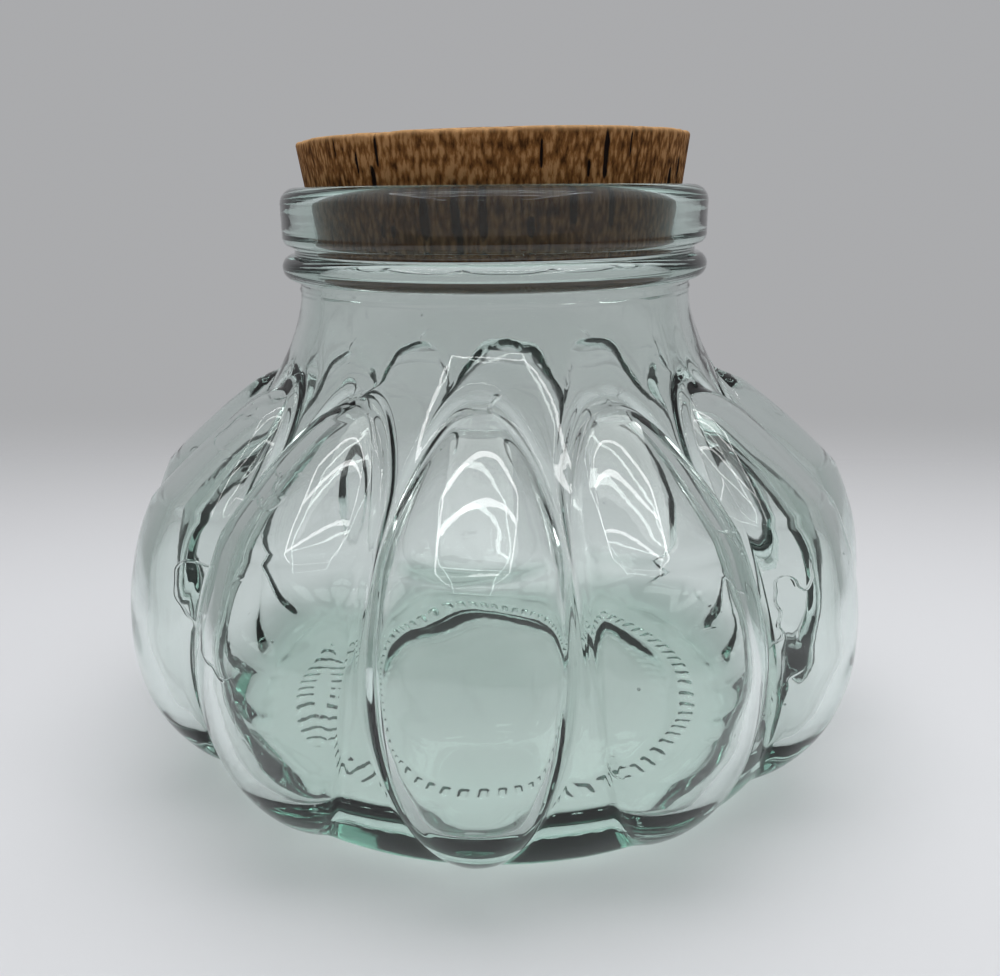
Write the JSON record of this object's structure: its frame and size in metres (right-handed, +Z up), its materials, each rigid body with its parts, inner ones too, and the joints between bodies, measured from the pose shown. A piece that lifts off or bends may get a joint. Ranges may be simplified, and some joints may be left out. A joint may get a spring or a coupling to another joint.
{
  "type": "glass jar",
  "caption": "Round glass storage jar with a lobed, pumpkin-like body, a short collared neck and a tapered cork lid that lifts off.",
  "frame": {"origin": "centre of the ring the jar stands on, at the bottom", "axes": "+Z up along the jar's axis of symmetry; the crest of one lobe faces -Y"},
  "size_m": [0.208, 0.208, 0.1662],
  "materials": {
    "green_glass": "gloss",
    "cork": "matte"
  },
  "bodies": {
    "jar": {"glass_jar": "green_glass"},
    "lid": {"cork_lid": "cork"}
  },
  "joints": [
    {"name": "cork_lift", "type": "slide", "parent": "jar", "child": "lid", "axis": [0, 0, 1], "range_m": [0, 0.06]}
  ]
}
